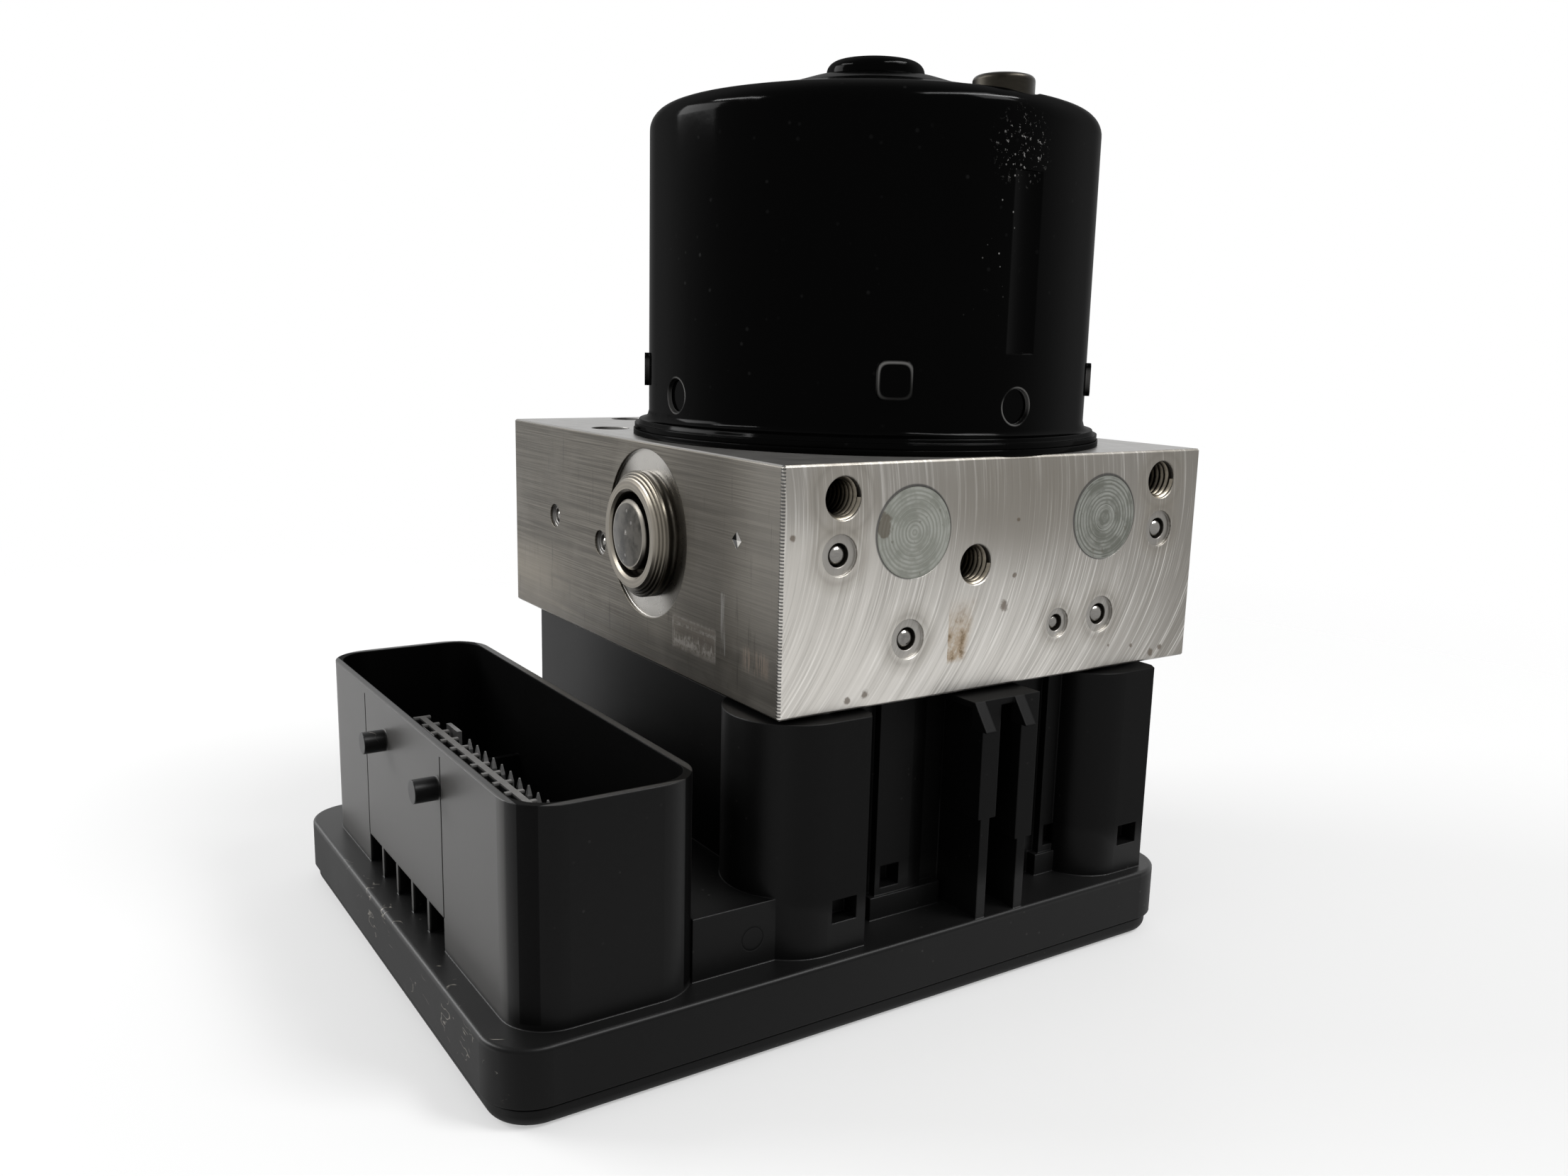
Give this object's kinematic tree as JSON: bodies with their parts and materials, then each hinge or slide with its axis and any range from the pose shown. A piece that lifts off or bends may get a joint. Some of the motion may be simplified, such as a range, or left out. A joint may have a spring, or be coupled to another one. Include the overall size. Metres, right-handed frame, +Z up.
{
  "type": "abs brake module",
  "caption": "Brake pressure modulator: milled aluminium valve block with a black pump motor on top and a black plastic control unit with an open connector below.",
  "frame": {"origin": "on the standing surface, under the middle of the whole module's bounding box", "axes": "+Z up; -Y is the block's front face with the tapped holes; the connector is on -X"},
  "size_m": [0.128, 0.1016, 0.1425],
  "materials": {
    "block_aluminium": "milled",
    "cap_grey": "turned",
    "plug_steel": "satin",
    "pump_cap_steel": "satin",
    "can_black": "gloss",
    "bolt_steel": "satin",
    "housing_black": "satin",
    "cover_black": "satin",
    "comb_grey": "matte",
    "pin_metal": "plated",
    "spring_steel": "satin",
    "shaft_steel": "ground",
    "core_steel": "matte",
    "copper": "enamelled",
    "magnet": "matte",
    "carbon": "matte",
    "brush_plate": "matte",
    "coil_shell": "matte",
    "gasket": "matte",
    "board": "satin"
  },
  "bodies": {
    "module": {"hydraulic_block": "block_aluminium", "ball_plugs": "plug_steel", "accumulator_caps": "cap_grey", "accumulator_spring_left": "spring_steel", "accumulator_spring_right": "spring_steel", "pump_collar_left": "plug_steel", "pump_collar_right": "plug_steel", "pump_cap_left": "pump_cap_steel", "pump_cap_right": "pump_cap_steel", "pump_spring_left": "spring_steel", "pump_spring_right": "spring_steel", "motor_end_plate": "can_black", "motor_can": "can_black", "motor_bolts": "bolt_steel", "magnets": "magnet", "brush_plate": "brush_plate", "brushes": "carbon", "main_bearing": "shaft_steel", "top_bearing": "shaft_steel", "inlet_valves": "plug_steel", "outlet_valves": "plug_steel", "inlet_coils": "coil_shell", "outlet_coils": "coil_shell", "ecu_housing": "housing_black", "pin_comb": "comb_grey", "ecu_cover": "cover_black", "ecu_screws": "bolt_steel", "housing_gasket": "gasket", "circuit_board": "board", "signal_pins": "pin_metal", "power_blades": "pin_metal", "motor_terminals": "pin_metal", "terminal_sleeve": "coil_shell"},
    "rotor": {"motor_shaft": "shaft_steel", "eccentric_bearing": "shaft_steel", "armature_core": "core_steel", "armature_winding": "copper", "commutator": "copper"},
    "pump_piston_left": {"pump_piston_left": "shaft_steel"},
    "pump_piston_right": {"pump_piston_right": "shaft_steel"},
    "accumulator_piston_left": {"accumulator_piston_left": "plug_steel"},
    "accumulator_piston_right": {"accumulator_piston_right": "plug_steel"}
  },
  "joints": [
    {"name": "rotor_spin", "type": "hinge", "parent": "module", "child": "rotor", "pos_m": [0.02045, -0.004, 0.067], "axis": [0, 0, 1], "continuous": true},
    {"name": "pump_stroke_left", "type": "slide", "parent": "module", "child": "pump_piston_left", "axis": [1, 0, 0], "range_m": [0, 0.0012], "stiffness_N_per_m": 800, "springref_m": 0.0012, "deforming": ["pump_spring_left"]},
    {"name": "pump_stroke_right", "type": "slide", "parent": "module", "child": "pump_piston_right", "axis": [1, 0, 0], "range_m": [-0.0012, 0], "stiffness_N_per_m": 800, "springref_m": -0.0012, "deforming": ["pump_spring_right"]},
    {"name": "accumulator_stroke_left", "type": "slide", "parent": "module", "child": "accumulator_piston_left", "axis": [0, -1, 0], "range_m": [0, 0.008], "stiffness_N_per_m": 900, "springref_m": -0.004, "deforming": ["accumulator_spring_left"]},
    {"name": "accumulator_stroke_right", "type": "slide", "parent": "module", "child": "accumulator_piston_right", "axis": [0, -1, 0], "range_m": [0, 0.008], "stiffness_N_per_m": 900, "springref_m": -0.004, "deforming": ["accumulator_spring_right"]}
  ]
}
